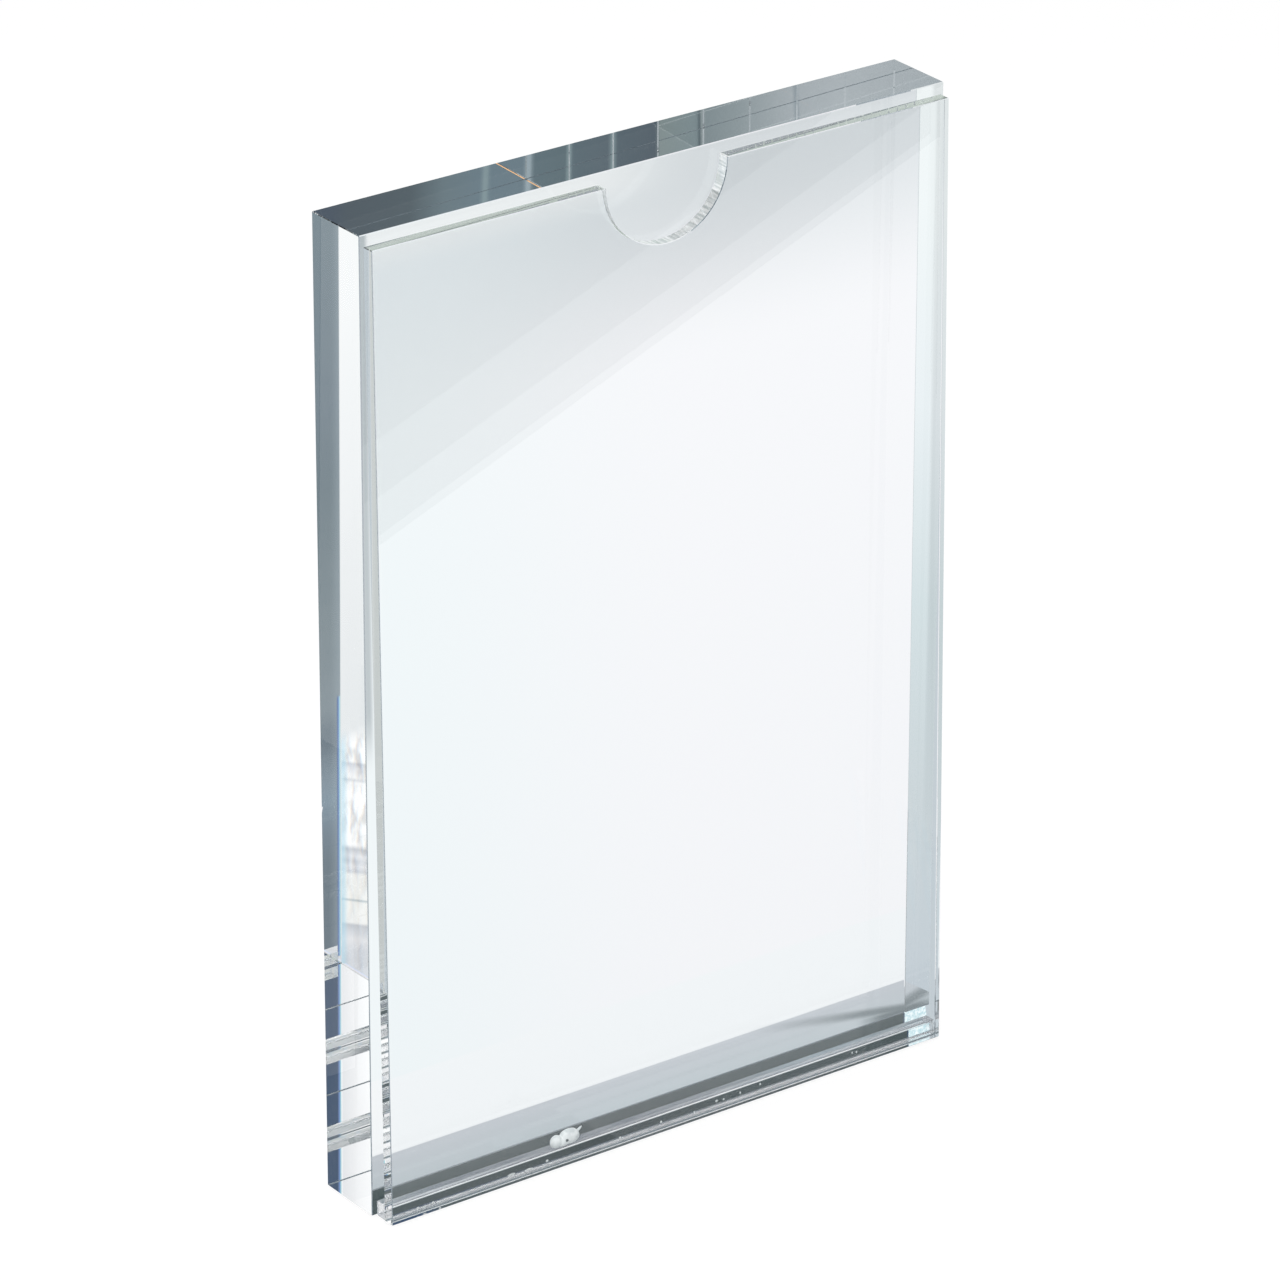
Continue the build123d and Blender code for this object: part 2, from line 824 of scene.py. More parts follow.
@dataclass(frozen=True)
class CementJoint:
    """Both cement films, the bubbles that one of them holds and the bead that was squeezed out.

    Args:
        build: the frame's sizes.
        bubble_places: where bubbles sit along the strip, how high, and how long, in millimetres.
        bead_across: the middle of the bead along X.
        lobes: how far right of that and above the strip each of the bead's lobes sits, its half
            sizes along X, Y and Z, and its tilt, in millimetres and radians.
        pinhole_place: how far right and above the pinhole lies, in millimetres.
    """

    build: Build
    bead_across: float = -17.3 * MM
    lobes: tuple[tuple[float, float, float, float, float, float], ...] = (
        (0.2, 0.9, 1.75, 0.9, 1.2, 0.1),
        (-2.15, 0.6, 1.0, 0.8, 1.1, 0.0),
        (-1.2, 0.45, 1.3, 0.8, 1.0, 0.0),
        (0.5, 1.15, 1.1, 0.7, 0.95, 0.0),
        (1.8, 1.45, 0.8, 0.25, 0.12, -0.6),
    )
    pinhole_place: tuple[float, float] = (-0.7, 0.75)
    bubble_places: tuple[tuple[float, float, float], ...] = (
        (-44.9, 0.75, 0.5),
        (-43.7, 0.6, 0.7),
        (-42.2, 0.8, 0.55),
        (-41.0, 0.5, 0.4),
        (-28.3, 0.95, 1.4),
        (-25.2, 0.8, 1.5),
        (-21.9, 1.2, 0.5),
        (-8.7, 0.8, 0.5),
        (-1.2, 1.1, 0.4),
        (4.9, 0.8, 0.3),
        (9.0, 1.4, 0.5),
        (10.3, 1.3, 0.35),
        (13.4, 1.4, 0.3),
        (17.1, 1.7, 0.3),
        (34.4, 1.6, 0.25),
        (35.2, 1.5, 0.25),
    )

    def bubbles(self, finish: bpy.types.Material) -> None:
        """Makes the flat bubbles in the film between strip and panel.

        Args:
            finish: the material.
        """
        film = 0.5 * (self.build.panel_foot - self.build.strip_front)
        depth = self.build.strip_front + film
        blobs = []
        for across, height, half_length in self.bubble_places:
            half = Vector((0.5 * half_length * MM, 0.6 * abs(film), 0.2 * MM))
            blobs.append(Blob(Vector((across * MM, depth, height * MM)), half))
        blob_mesh("cement_bubbles", blobs, finish, rings=8)

    def bead(self, finish: bpy.types.Material) -> None:
        """Makes the bead on top of the strip, out of lobes that run together and a drawn tail.

        Args:
            finish: the material.
        """
        depth = 0.5 * (self.build.strip_front + self.build.front)
        blobs = []
        for right, above, half_x, half_y, half_z, tilt in self.lobes:
            across = self.bead_across + right * MM
            middle = Vector((across, depth, self.build.strip_top + above * MM))
            blobs.append(Blob(middle, Vector((half_x * MM, half_y * MM, half_z * MM)), tilt))
        blob_mesh("cement_bead", blobs, finish)

    def build_and_dress(self) -> None:
        """Dresses the films and adds the bubbles and the bead."""
        clear = SetCement("film_cement", self.build).make()
        for node in ("rear_cement", "front_cement"):
            dress(node, clear)
        right, above = self.pinhole_place
        pinhole = Vector((self.bead_across + right * MM, 0.0, self.build.strip_top + above * MM))
        milky = MilkyCement("milky_cement", pinhole).make()
        self.bubbles(milky)
        self.bead(milky)


@dataclass(frozen=True)
class PaleFloor:
    """The floor's finish: white with a faint shadow, and toned where clear plastic shows it.

    Args:
        build: the frame's sizes.
        between: how far behind the block the first card stands.
        white_reach: how far back the white behind that card reaches.
        sight_slope: how far across straight light runs for each length back.
        end_slope: the same for light that left through the block's right end.
        glitter_reach: how far ahead of the frame the glitter ends.
        paint: the floor's own colour.
        whitening: how much of the floor shows as plain white to the eye.
    """

    build: Build
    between: float
    white_reach: float = 44.0 * MM
    sight_slope: float = 0.79
    end_slope: float = 0.675
    glitter_reach: float = 74.0 * MM
    paint: Colour = (0.88, 0.88, 0.88)
    whitening: float = 0.7

    def toward_front(self, graph: NodeGraph, across: Source, depth: Source) -> Socket:
        """Tones the floor before the frame, with painted shade that makes it duller near the frame.

        Args:
            graph: the material's graph.
            across: the place along X.
            depth: the place along Y.

        Returns:
            The colour.
        """
        # The duller stops near the frame are painted shade of the frame on the floor.
        stops = (
            (8.0 * MM, (0.76, 0.78, 0.79)),
            (80.0 * MM, (0.86, 0.88, 0.89)),
            (150.0 * MM, (0.93, 0.945, 0.95)),
            (230.0 * MM, (1.0, 1.01, 1.01)),
        )
        ahead = graph.maths("MULTIPLY", depth, -1.0)
        plain = graph.gradient(ahead, stops)
        path = graph.maths("MULTIPLY_ADD", ahead, -self.end_slope, across)
        low = self.build.half_width - 2.7 * MM
        beyond = graph.all_of(
            graph.within(path, low, low + 5.5 * MM),
            graph.opposite(graph.ramp(ahead, self.glitter_reach - 8.0 * MM, self.glitter_reach)),
        )
        return graph.mix_colour(beyond, plain, self.glitter(graph, path, ahead))

    def glitter(self, graph: NodeGraph, path: Source, ahead: Source) -> Socket:
        """Paints the light thrown out of the block's right end, in streaks and grey bands.

        Args:
            graph: the material's graph.
            path: where the light left the block, along X.
            ahead: how far before the frame it lands.

        Returns:
            The colour.
        """
        low = self.build.half_width - 2.2 * MM
        bent = graph.maths("MULTIPLY_ADD", graph.maths("SUBTRACT", path, low), 0.7, ahead)
        white, cream = (1.05, 1.05, 1.05), (0.95, 0.95, 0.92)
        soft, grey, dark = (0.86, 0.87, 0.9), (0.7, 0.72, 0.76), (0.5, 0.57, 0.6)
        stops = (
            (8.0 * MM, grey),
            (11.0 * MM, (0.82, 0.82, 0.84)),
            (13.0 * MM, grey),
            (15.0 * MM, (0.58, 0.6, 0.64)),
            (15.8 * MM, (0.95, 0.95, 0.93)),
            (21.6 * MM, cream),
            (22.1 * MM, dark),
            (22.7 * MM, cream),
            (29.5 * MM, (0.94, 0.94, 0.92)),
            (30.5 * MM, grey),
            (32.0 * MM, soft),
            (33.5 * MM, grey),
            (35.0 * MM, soft),
            (37.0 * MM, (0.6, 0.62, 0.66)),
            (38.3 * MM, white),
            (57.0 * MM, white),
            (57.8 * MM, (0.8, 0.82, 0.85)),
            (58.6 * MM, white),
            (61.0 * MM, soft),
            (62.8 * MM, (0.7, 0.72, 0.77)),
            (63.6 * MM, white),
            (self.glitter_reach, white),
        )
        body = graph.gradient(bent, stops)
        tint = graph.node("CombineColor")
        for socket, shift in zip(tint.inputs, (0.0, 0.1 * MM, 0.2 * MM)):
            place = graph.node("CombineXYZ")
            graph.feed(place.inputs[0], graph.maths("ADD", path, shift))
            graph.feed(place.inputs[1], graph.maths("MULTIPLY", bent, 0.16))
            noise = graph.node("TexNoise")
            graph.feed(noise.inputs["Vector"], place.outputs[0])
            graph.feed(noise.inputs["Scale"], 900.0)
            streak = graph.ramp(noise.outputs[0], 0.3, 0.6)
            graph.feed(socket, graph.maths("MULTIPLY_ADD", streak, 0.45, 0.66))
        streaked = graph.node("Mix", data_type="RGBA", blend_type="MULTIPLY")
        far = graph.ramp(ahead, 20.0 * MM, 45.0 * MM)
        graph.feed(streaked.inputs[0], graph.maths("MULTIPLY_ADD", far, 0.5, 0.3))
        graph.feed(streaked.inputs[6], body)
        graph.feed(streaked.inputs[7], tint.outputs[0])
        rim = graph.all_of(graph.opposite(graph.ramp(path, low, low + 1.1 * MM)), 0.6)
        return graph.mix_colour(rim, streaked.outputs[2], (0.42, 0.74, 0.9))

    def toward_back(self, graph: NodeGraph, across: Source, depth: Source) -> Socket:
        """Tones the floor behind the frame, slate to the right and mid grey to the left.

        Args:
            graph: the material's graph.
            across: the place along X.
            depth: the place along Y.

        Returns:
            The colour.
        """
        stops = (
            (0.0 * MM, (0.09, 0.13, 0.17)),
            (27.0 * MM, (0.1, 0.145, 0.185)),
            (36.0 * MM, (0.135, 0.19, 0.245)),
            (45.0 * MM, (0.19, 0.27, 0.335)),
            (52.0 * MM, (0.18, 0.245, 0.3)),
            (62.0 * MM, (0.115, 0.16, 0.2)),
            (66.0 * MM, (0.125, 0.17, 0.21)),
            (74.0 * MM, (0.2, 0.25, 0.28)),
            (100.0 * MM, (0.175, 0.225, 0.25)),
            (150.0 * MM, (0.12, 0.17, 0.2)),
            (180.0 * MM, (0.14, 0.19, 0.23)),
            (245.0 * MM, (0.16, 0.215, 0.25)),
        )
        slate = graph.gradient(depth, stops)
        start = self.start(graph, across, depth, self.end_slope)
        rim = graph.maths("MULTIPLY", graph.ramp(start, 56.0 * MM, 58.6 * MM), 0.35)
        slate = graph.mix_colour(rim, slate, (0.4, 0.48, 0.53))
        share = graph.ramp(start, 7.0 * MM, 37.0 * MM)
        return graph.mix_colour(share, (0.5, 0.55, 0.57), slate)

    def start(self, graph: NodeGraph, across: Source, depth: Source, slope: float) -> Socket:
        """Follows the light's path back to the block's back face, and gives its place along X."""
        run = graph.maths("MULTIPLY", graph.maths("SUBTRACT", depth, self.build.back), slope)
        return graph.maths("SUBTRACT", across, run)

    def close_behind(self, graph: NodeGraph, across: Source, depth: Source) -> Socket:
        """Tones the floor between the block and the card grey, as painted shadow of the block, with a
        painted shade at the right end.

        Args:
            graph: the material's graph.
            across: the place along X.
            depth: the place along Y.

        Returns:
            The colour.
        """
        card = self.build.back + self.between
        white = (0.93, 0.945, 0.955)
        # The grey next to the block is painted shadow of the block.
        stops = (
            (self.build.back, (0.5, 0.56, 0.59)),
            (card - 0.2 * MM, (0.55, 0.58, 0.62)),
            (card, white),
            (self.white_reach, white),
        )
        plain = graph.gradient(depth, stops)
        middle = graph.maths("MULTIPLY_ADD", across, -0.31, 25.6 * MM)
        off = graph.maths("ABSOLUTE", graph.maths("SUBTRACT", depth, middle))
        streak = graph.opposite(graph.ramp(off, 0.2 * MM, 2.2 * MM))
        end = graph.ramp(across, 26.0 * MM, 50.0 * MM)
        beside = graph.opposite(graph.ramp(depth, 9.0 * MM, 11.0 * MM))
        corner = graph.all_of(graph.ramp(across, 42.0 * MM, 48.0 * MM), beside, 0.8)
        shade = graph.any_of(graph.all_of(streak, end, 0.75), corner)
        return graph.mix_colour(shade, plain, (0.06, 0.09, 0.1))

    def under(self, graph: NodeGraph, across: Source, depth: Source) -> Socket:
        """Tones what lies under the panel, green as thick plastic is, and under the strip, dark there as
        painted shade.

        Args:
            graph: the material's graph.
            across: the place along X.
            depth: the place along Y.

        Returns:
            The colour.
        """
        beneath_panel = graph.maths("LESS_THAN", depth, self.build.strip_front + 0.3 * MM)
        right = graph.ramp(across, -25.0 * MM, 8.0 * MM)
        green = graph.mix_colour(right, (0.56, 0.63, 0.57), (0.5, 0.57, 0.52))
        # The dark tone under the strip is painted shade.
        return graph.mix_colour(beneath_panel, (0.2, 0.24, 0.26), green)

    def tone(self, graph: NodeGraph) -> Socket:
        """Puts the tones of all parts of the floor together.

        Args:
            graph: the material's graph.

        Returns:
            The colour.
        """
        across, depth, _ = graph.place()
        behind = graph.maths("GREATER_THAN", depth, 2.1 * MM)
        front = self.toward_front(graph, across, depth)
        colour = graph.mix_colour(behind, front, self.toward_back(graph, across, depth))
        start = self.start(graph, across, depth, self.sight_slope)
        near = graph.all_of(
            graph.within(start, -self.build.half_width - 3.0 * MM, self.build.half_width + 0.1 * MM),
            graph.within(depth, self.build.back, self.white_reach),
        )
        colour = graph.mix_colour(near, colour, self.close_behind(graph, across, depth))
        foot = graph.all_of(
            graph.within(across, -self.build.half_width, self.build.half_width),
            graph.within(depth, self.build.panel_front - 0.7 * MM, self.build.back),
        )
        colour = graph.mix_colour(foot, colour, self.under(graph, across, depth))
        glint = graph.all_of(
            graph.within(across, self.build.half_width, self.build.half_width + 0.8 * MM),
            graph.within(depth, self.build.front, self.build.back),
        )
        warmth = graph.ramp(across, self.build.half_width + 0.1 * MM, self.build.half_width + 0.7 * MM)
        spark = graph.mix_colour(warmth, (1.5, 0.8, 0.3), (0.7, 0.8, 1.0))
        return graph.mix_colour(glint, colour, spark)

    def opening(self, graph: NodeGraph) -> Socket:
        """Finds the place under the block, where light goes on to the card below.

        Args:
            graph: the material's graph.

        Returns:
            1 under the block and 0 elsewhere.
        """
        across, depth, _ = graph.place()
        edge = self.build.half_width + 0.1 * MM
        near, far = self.build.front - 0.3 * MM, self.build.back + 0.55 * MM
        return graph.all_of(graph.within(across, -edge, edge), graph.within(depth, near, far))

    def make(self) -> bpy.types.Material:
        """Makes the material.

        Returns:
            The material.
        """
        material = bpy.data.materials.new("pale_floor")
        graph = NodeGraph(material)
        paint = graph.shader("BsdfDiffuse", self.paint)
        lit = graph.mix_shader(self.whitening, paint, graph.shader("Emission"))
        toned = graph.shader("Emission", self.tone(graph))
        through = graph.mix_shader(self.opening(graph), toned, graph.shader("BsdfTransparent"))
        direct, bent = graph.by_ray()
        shown = graph.mix_shader(direct, paint, lit)
        graph.finish(graph.mix_shader(bent, shown, through))
        material.cycles.emission_sampling = "NONE"
        return material


@dataclass(frozen=True)
class StudioTone:
    """A tone of the studio, which gives no light to other surfaces.

    Args:
        name: the material's name.
        shown: which sides show the tone.
    """

    name: str
    shown: Shown = Shown.BOTH_SIDES

    def make(self, paint: Callable[[NodeGraph], object]) -> bpy.types.Material:
        """Makes the material.

        Args:
            paint: gives the colour, from the material's graph.

        Returns:
            The material.
        """
        material = bpy.data.materials.new(self.name)
        graph = NodeGraph(material)
        shader = graph.shader("Emission", paint(graph))
        if self.shown is Shown.FRONT_ONLY:
            back = graph.node("NewGeometry").outputs["Backfacing"]
            shader = graph.mix_shader(back, shader, graph.shader("BsdfTransparent"))
        graph.finish(shader)
        material.cycles.emission_sampling = "NONE"
        return material


@dataclass(frozen=True)
class PhotoCamera:
    """The camera at the photograph's viewing angle.

    Args:
        yaw: the turn to the right of the frame's depth axis.
        pitch: how far it looks down.
        roll: its turn about its own axis.
        distance: how far it stands from the frame's middle, along its axis.
        right: how far the frame's middle lies to the right of that axis.
        down: how far the frame's middle lies below that axis.
        lens: the focal length in millimetres for a 36 mm wide picture.
    """

    yaw: float = 0.63341
    pitch: float = 0.43194
    roll: float = -0.00246
    distance: float = 1.13424
    right: float = 2.418 * MM
    down: float = 1.603 * MM
    lens: float = 221.524

    def make(self, build: Build) -> bpy.types.Object:
        """Makes the camera and gives it to the scene.

        Args:
            build: the frame's sizes.

        Returns:
            The camera.
        """
        forward = Vector(
            (
                math.sin(self.yaw) * math.cos(self.pitch),
                math.cos(self.yaw) * math.cos(self.pitch),
                -math.sin(self.pitch),
            )
        )
        level = Vector((math.cos(self.yaw), -math.sin(self.yaw), 0.0))
        fall = forward.cross(level)
        side = math.cos(self.roll) * level + math.sin(self.roll) * fall
        drop = math.cos(self.roll) * fall - math.sin(self.roll) * level
        middle = Vector((0.0, build.front, build.height / 2))
        eye = middle - side * self.right - drop * self.down - forward * self.distance
        data = bpy.data.cameras.new("camera")
        data.lens = self.lens
        data.sensor_width = 36.0
        data.clip_start = 0.05
        data.clip_end = 20.0
        camera = bpy.data.objects.new("camera", data)
        turn = Matrix((side, -drop, -forward)).transposed().to_4x4()
        camera.matrix_world = Matrix.Translation(eye) @ turn
        bpy.context.scene.collection.objects.link(camera)
        bpy.context.scene.camera = camera
        return camera


@dataclass(frozen=True)
class Studio:
    """The pale floor, the lamp and the tones that the clear pieces gather.

    Args:
        build: the frame's sizes.
        yaw: the camera's turn, which the light through the top follows.
        floor_half: half the floor's width.
        floor_drop: how far the floor lies below the foot.
        card_gap: how far behind the block the white card stands.
        under_drop: how far below the foot the card under the block lies.
        darkness: the dark card's tone.
        lamp_place: where the lamp hangs; it shines at the origin.
        lamp_size: how wide the lamp is.
        lamp_power: its power in watts.
    """

    build: Build
    yaw: float
    floor_half: float = 3.0
    floor_drop: float = 0.3 * MM
    card_gap: float = 9.0 * MM
    under_drop: float = 40.0 * MM
    darkness: Colour = (0.03, 0.035, 0.04)
    lamp_place: Place = (-0.5, -0.5, 1.3)
    lamp_size: float = 0.8
    lamp_power: float = 15.0

    def floor(self) -> None:
        """Lays the floor."""
        floor = flat_mesh("floor", [level_square(self.floor_half, -self.floor_drop)])
        floor.data.materials.append(PaleFloor(self.build, self.card_gap).make())
        floor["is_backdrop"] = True
        LOG.info("laid the floor")

    def card(
        self,
        name: str,
        outlines: Sequence[Sequence[Place]],
        paint: Callable[[NodeGraph], object],
        shown: Shown = Shown.BOTH_SIDES,
    ) -> None:
        """Hangs a card that only clear plastic shows.

        Args:
            name: the card's name.
            outlines: the corners of each of its faces, in turn so that the normal points to the front.
            paint: gives its colour, from the material's graph.
            shown: which sides show the tone.
        """
        card = flat_mesh(name, outlines)
        card.data.materials.append(StudioTone(name, shown).make(paint))
        card.visible_camera = False
        card.visible_diffuse = False
        card.visible_shadow = False
        card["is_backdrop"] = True
        LOG.info("hung %s", name)

    def white_card(self) -> None:
        """Stands the white card behind the block, greyer at its upper left end and its top."""
        depth = self.build.back + self.card_gap
        left, right = -62.0 * MM, self.build.half_width + 7.4 * MM
        foot, top = 12.0 * MM, self.build.height + 0.1 * MM

        def paint(graph: NodeGraph) -> Socket:
            """Gives the card's tone.

            Args:
                graph: the material's graph.

            Returns:
                The colour.
            """
            across, _, height = graph.place()
            rightward = graph.ramp(across, -45.0 * MM, 20.0 * MM)
            body = graph.mix_colour(rightward, (0.895, 0.94, 0.95), (0.95, 0.94, 0.957))
            fall = graph.ramp(height, 112.0 * MM, 142.0 * MM)
            upper = graph.ramp(across, -35.0 * MM, 30.0 * MM)
            dulled = graph.mix_colour(upper, (0.85, 0.9, 0.92), (0.72, 0.755, 0.775))
            body = graph.mix_colour(fall, body, dulled)
            crest = graph.all_of(
                graph.ramp(height, 138.0 * MM, 143.0 * MM),
                graph.opposite(graph.ramp(across, -2.0 * MM, 18.0 * MM)),
                0.7,
            )
            body = graph.mix_colour(crest, body, (0.93, 0.95, 0.95))
            end = graph.opposite(graph.ramp(across, -39.6 * MM, -38.6 * MM))
            high = graph.ramp(height, 61.0 * MM, 72.0 * MM)
            return graph.mix_colour(graph.all_of(end, high), body, (0.5, 0.55, 0.57))

        self.card("white_card", [upright((right, depth), (left, depth), foot, top)], paint)

    def side_card(self) -> None:
        """Stands a narrow card behind the block's right end, for light that turned back inside it."""
        start, end = self.build.half_width - 7.9 * MM, self.build.half_width - 6.6 * MM
        near, far = self.build.back + 0.2 * MM, self.build.back + self.card_gap - 0.1 * MM
        low, high = -0.2 * MM, self.build.height + 8.0 * MM

        def paint(graph: NodeGraph) -> Socket:
            """Gives the card's tone, duller close to the block and high up.

            Args:
                graph: the material's graph.

            Returns:
                The colour.
            """
            _, depth, height = graph.place()
            close = graph.opposite(graph.ramp(depth, near + 4.3 * MM, near + 5.3 * MM))
            high_up = graph.ramp(height, 10.0 * MM, 70.0 * MM)
            stops = (
                (0.0, (0.54, 0.6, 0.65)),
                (31.0 * MM, (0.57, 0.635, 0.66)),
                (64.0 * MM, (0.64, 0.73, 0.75)),
                (96.0 * MM, (0.83, 0.88, 0.9)),
                (128.0 * MM, (0.9, 0.94, 0.94)),
            )
            body = graph.gradient(height, stops)
            return graph.mix_colour(graph.all_of(close, high_up, 0.19), body, (0.05, 0.06, 0.07))

        outline = upright((start, near), (end, far), low, high)
        self.card("side_card", [outline], paint, Shown.FRONT_ONLY)

    def dark_card(self) -> None:
        """Hangs a dark card high before the frame, which both faces of block and panel mirror."""
        depth = -150.0 * MM
        rise, foot = 0.3851, 16.7 * MM
        left, right, top = 30.0 * MM, 200.0 * MM, 300.0 * MM
        outline = [
            (left, depth, foot + rise * left),
            (right, depth, foot + rise * right),
            (right, depth, top),
            (left, depth, top),
        ]
        self.card("dark_card", [outline], lambda graph: self.darkness)

    def roof_card(self) -> None:
        """Hangs a white card over the floor to the front right, for light that leaves upward."""
        height = 60.0 * MM
        left, right, near, far = 56.0 * MM, 135.0 * MM, -125.0 * MM, -12.0 * MM

        def paint(graph: NodeGraph) -> Socket:
            """Gives the card's tone, brighter for light that left the block far back.

            Args:
                graph: the material's graph.

            Returns:
                The colour.
            """
            across, depth, _ = graph.place()
            run = graph.maths("MULTIPLY", graph.maths("SUBTRACT", across, self.build.half_width), 1.5)
            left_at = graph.maths("ADD", depth, run)
            stops = (
                (self.build.front, (0.86, 0.87, 0.89)),
                (self.build.front + 4.0 * MM, (0.98, 0.98, 0.99)),
                (self.build.back, (1.14, 1.14, 1.14)),
            )
            return graph.gradient(left_at, stops)

        outline = [(left, near, height), (left, far, height), (right, far, height), (right, near, height)]
        self.card("roof_card", [outline], paint, Shown.FRONT_ONLY)

    def fringe_card(self) -> None:
        """Stands a thin blue card by the block's front right edge, which colours the slate's rim."""
        depth = self.build.front + 2.2 * MM
        left, right = self.build.half_width + 0.8 * MM, self.build.half_width + 1.5 * MM
        low, high = 0.0, 44.0 * MM

        def paint(graph: NodeGraph) -> Socket:
            """Gives the fringe, from deep blue to pale cyan.

            Args:
                graph: the material's graph.

            Returns:
                The colour.
            """
            across, _, _ = graph.place()
            stops = (
                (left, (0.1, 0.15, 0.24)),
                (left + 0.15 * MM, (0.1, 0.18, 0.42)),
                (left + 0.3 * MM, (0.15, 0.28, 0.6)),
                (left + 0.45 * MM, (0.36, 0.66, 0.74)),
                (right, (0.6, 0.82, 0.84)),
            )
            return graph.gradient(across, stops)

        outline = upright((left, depth), (right, depth), low, high)
        self.card("fringe_card", [outline], paint, Shown.FRONT_ONLY)

    def end_card(self) -> None:
        """Stands a card close to the panel's right end, for light that ran along inside the panel."""
        across = 0.5 * (self.build.half_width + self.build.panel_half) + 0.13 * MM
        turn = self.build.panel_front + 1.95 * MM
        near, far = self.build.panel_front - 0.5 * MM, self.build.front - 0.1 * MM
        low, high = 0.0, self.build.panel_top

        def paint(graph: NodeGraph) -> Socket:
            """Gives one tone for light that leaves toward the front and one for the other.

            Args:
                graph: the material's graph.

            Returns:
                The colour.
            """
            _, depth, _ = graph.place()
            behind = graph.maths("GREATER_THAN", depth, turn)
            return graph.mix_colour(behind, (0.59, 0.62, 0.61), (0.53, 0.59, 0.63))

        outline = upright((across, far), (across, near), low, high)
        self.card("end_card", [outline], paint, Shown.FRONT_ONLY)

    def corner_card(self) -> None:
        """Hangs slats behind the block's lower right corner, for light that rises there to the left."""
        count, step, length = 10, 0.5 * MM, 5.2 * MM
        left, near = self.build.half_width - 4.6 * MM, self.build.back + 0.13 * MM
        far, sideways = near + length, 0.68 * length

        def paint(graph: NodeGraph) -> Socket:
            """Gives the slats their tone, mottled from cyan to white.

            Args:
                graph: the material's graph.

            Returns:
                The colour.
            """
            mottle = graph.ramp(graph.grain(1400.0), 0.38, 0.62)
            return graph.mix_colour(mottle, (0.55, 0.78, 0.84), (0.98, 1.08, 1.1))

        outlines = []
        for high in (2.7 * MM, 5.4 * MM):
            for index in range(count):
                across = left + index * step
                slat = (
                    (across, near, high),
                    (across - sideways, far, high),
                    (across + step - sideways, far, high + step),
                    (across + step, near, high + step),
                )
                outlines.append(slat)
        self.card("corner_card", outlines, paint, Shown.FRONT_ONLY)

    def under_card(self) -> None:
        """Lays the card under the block, in bands that the block's top shows: dark slate tones of painted
        shade under the block, crossed by thin lines that are painted reflections of the block's right
        end.
        """
        half = 150.0 * MM

        def paint(graph: NodeGraph) -> Socket:
            """Unfolds the light's path past both ends of the block and gives the band's tone.

            Args:
                graph: the material's graph.

            Returns:
                The colour.
            """
            across, depth, _ = graph.place()
            behind = graph.maths("GREATER_THAN", depth, 0.0)
            mirrored_depth = graph.maths("SUBTRACT", 2 * self.build.back, depth)
            long_depth = graph.any_of(
                graph.all_of(behind, depth),
                graph.all_of(graph.opposite(behind), mirrored_depth),
            )
            right = graph.maths("GREATER_THAN", across, 0.0)
            mirrored_across = graph.maths("SUBTRACT", 2 * self.build.half_width, across)
            long_across = graph.any_of(
                graph.all_of(right, across),
                graph.all_of(graph.opposite(right), mirrored_across),
            )
            run = graph.maths("MULTIPLY", long_depth, math.tan(self.yaw))
            station = graph.maths("SUBTRACT", long_across, run)
            # The slate tones are painted shade under the block; the thin pale and dark lines are painted
            # reflections of the block's right end.
            slate, blue, pale = (0.08, 0.1, 0.125), (0.165, 0.235, 0.28), (0.3, 0.4, 0.42)
            grey, light = (0.36, 0.42, 0.44), (0.52, 0.57, 0.6)
            stops = (
                (0.0, slate),
                (19.0 * MM, (0.09, 0.12, 0.14)),
                (26.0 * MM, (0.16, 0.22, 0.25)),
                (33.5 * MM, blue),
                (34.5 * MM, pale),
                (35.5 * MM, blue),
                (42.5 * MM, blue),
                (43.5 * MM, (0.45, 0.55, 0.6)),
                (44.5 * MM, (0.125, 0.185, 0.215)),
                (51.2 * MM, (0.12, 0.175, 0.2)),
                (52.0 * MM, pale),
                (52.8 * MM, (0.11, 0.16, 0.19)),
                (60.4 * MM, (0.11, 0.15, 0.18)),
                (61.2 * MM, pale),
                (62.0 * MM, (0.1, 0.14, 0.17)),
                (70.4 * MM, (0.09, 0.12, 0.15)),
                (71.2 * MM, (0.27, 0.33, 0.33)),
                (79.0 * MM, (0.27, 0.34, 0.36)),
                (79.6 * MM, (0.12, 0.16, 0.18)),
                (80.2 * MM, (0.36, 0.42, 0.43)),
                (81.0 * MM, (0.29, 0.35, 0.37)),
                (88.0 * MM, grey),
                (99.8 * MM, light),
                (100.5 * MM, (0.33, 0.39, 0.43)),
                (101.3 * MM, light),
                (110.0 * MM, (0.57, 0.62, 0.65)),
                (135.0 * MM, (0.51, 0.56, 0.59)),
            )
            return graph.gradient(station, stops)

        self.card("under_card", [level_square(half, -self.under_drop)], paint)

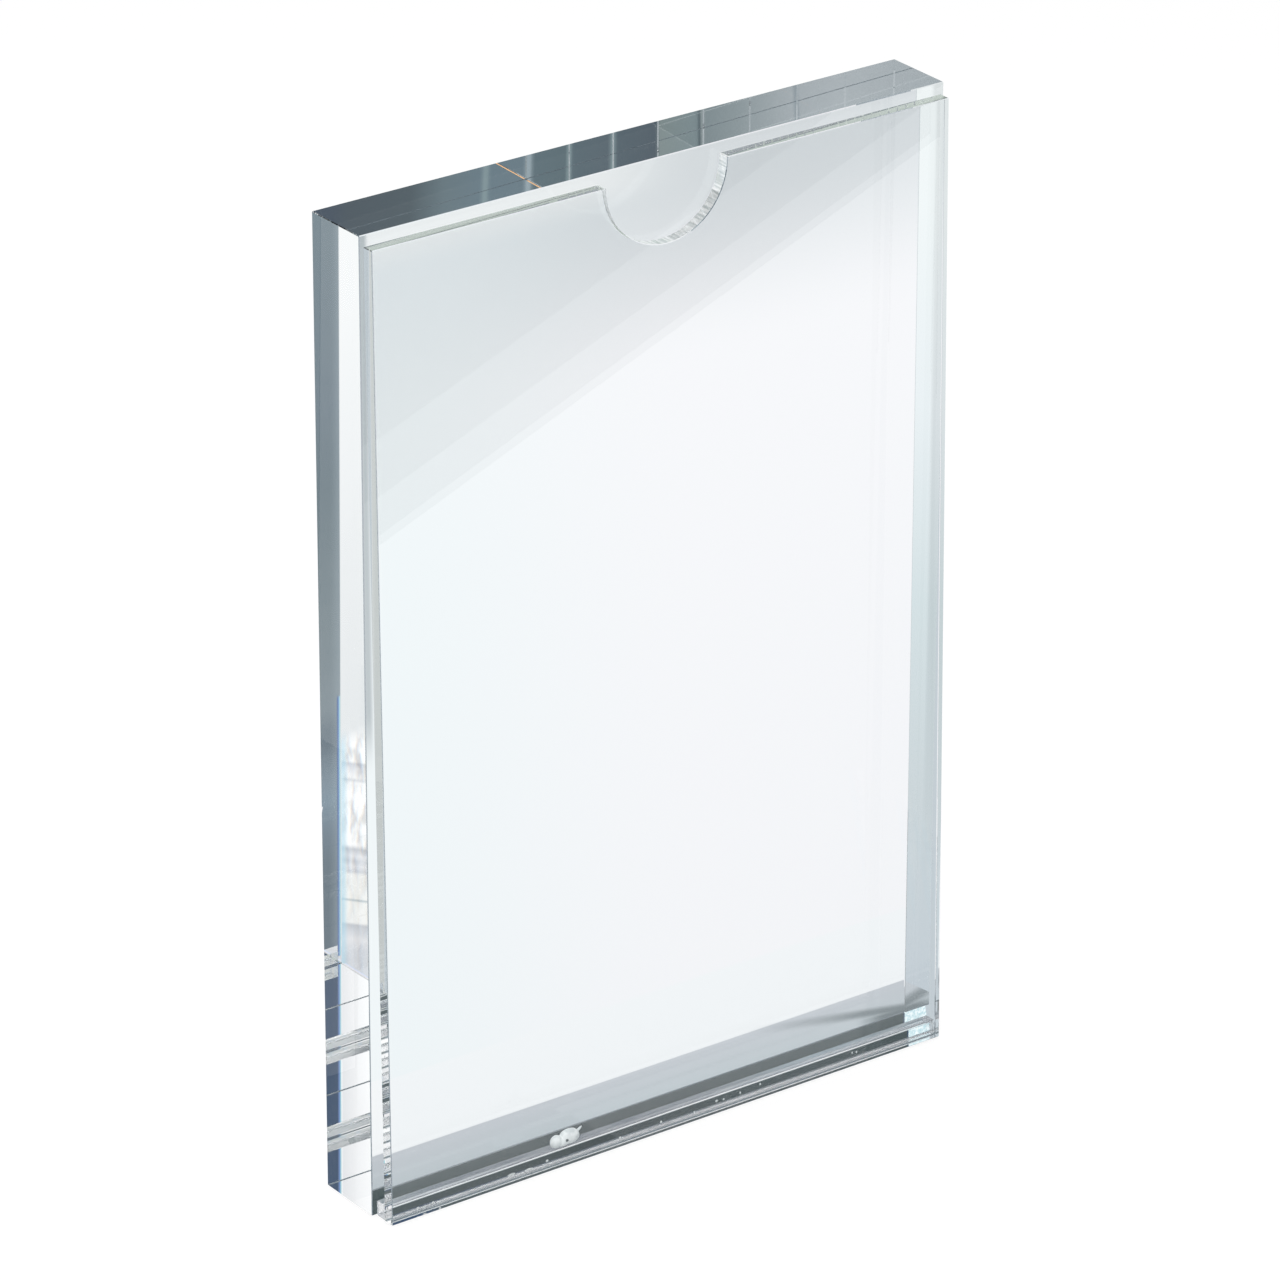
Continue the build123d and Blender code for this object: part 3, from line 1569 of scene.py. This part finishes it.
    def sky(self) -> None:
        """Makes the world: white to the eye, and a slate backdrop behind clear plastic."""
        world = bpy.data.worlds.new("studio")
        bpy.context.scene.world = world
        graph = NodeGraph(world)
        across, depth, height = graph.split(graph.node("TexCoord").outputs["Generated"])
        behind = graph.ramp(depth, -0.1, 0.1)
        right = graph.ramp(across, -0.3, 0.1)
        above = graph.ramp(height, 0.28, 0.34)
        below = graph.opposite(graph.ramp(height, 0.5, 0.56))
        dark = graph.all_of(behind, right, above, below)
        stops = (
            (math.radians(33.86), (0.015, 0.05, 0.12)),
            (math.radians(34.0), (0.06, 0.085, 0.09)),
            (math.radians(35.3), (0.075, 0.095, 0.1)),
            (math.radians(36.2), (0.045, 0.062, 0.066)),
            (math.radians(38.0), (0.035, 0.058, 0.063)),
        )
        slate = graph.gradient(graph.maths("ARCTAN2", across, depth), stops)
        front = graph.mix_colour(right, (0.25, 0.27, 0.28), (0.9, 0.92, 0.94))
        back = graph.mix_colour(right, (0.2, 0.22, 0.23), (0.6, 0.64, 0.66))
        other = graph.mix_colour(behind, front, back)
        tone = graph.mix_colour(dark, other, slate)
        direct, bent = graph.by_ray()
        plain = graph.mix_colour(direct, (0.8, 0.8, 0.8), (1.0, 1.0, 1.0))
        seen = graph.mix_colour(bent, plain, tone)
        graph.finish(graph.shader("Background", seen), world=True)

    def lamp(self) -> None:
        """Hangs one soft lamp above and to the left."""
        data = bpy.data.lights.new("soft_lamp", "AREA")
        data.shape = "DISK"
        data.size = self.lamp_size
        data.energy = self.lamp_power
        lamp = bpy.data.objects.new("soft_lamp", data)
        place = Vector(self.lamp_place)
        lamp.location = place
        lamp.visible_glossy = False
        lamp.visible_transmission = False
        lamp.rotation_mode = "QUATERNION"
        lamp.rotation_quaternion = (-place).to_track_quat("-Z", "Y")
        bpy.context.scene.collection.objects.link(lamp)

    def make(self) -> None:
        """Makes the whole studio."""
        self.floor()
        self.white_card()
        self.side_card()
        self.dark_card()
        self.roof_card()
        self.fringe_card()
        self.end_card()
        self.corner_card()
        self.under_card()
        self.sky()
        self.lamp()


def allow_long_paths(bounces: int = 80, passes: int = 120) -> None:
    """Lets light bounce often enough to come out of the clear pieces.

    Args:
        bounces: how often light may bend or be mirrored.
        passes: how many see-through faces it may cross.
    """
    cycles = bpy.context.scene.cycles
    cycles.max_bounces = bounces
    cycles.glossy_bounces = bounces
    cycles.transmission_bounces = bounces
    cycles.transparent_max_bounces = passes


def corners(bounds: tuple[Vector, Vector]) -> list[list[float]]:
    """Gives a box's two corners as plain lists."""
    return [list(corner) for corner in bounds]


def main() -> None:
    """Builds and dresses the frame and its studio."""
    logging.basicConfig(level=logging.INFO, format="%(name)s: %(message)s")
    cad_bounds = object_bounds()
    bpy.context.scene.view_settings.view_transform = "Standard"
    allow_long_paths()
    build = Build.from_frame()
    ClearBlock(build).dress()
    FrontPanel(build).dress()
    SpacerStrip(build).dress()
    CementJoint(build).build_and_dress()
    camera = PhotoCamera()
    Studio(build, camera.yaw).make()
    camera.make(build)
    {"cad": corners(cad_bounds), "visual": corners(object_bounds())}


if __name__ == "__main__":
    main()
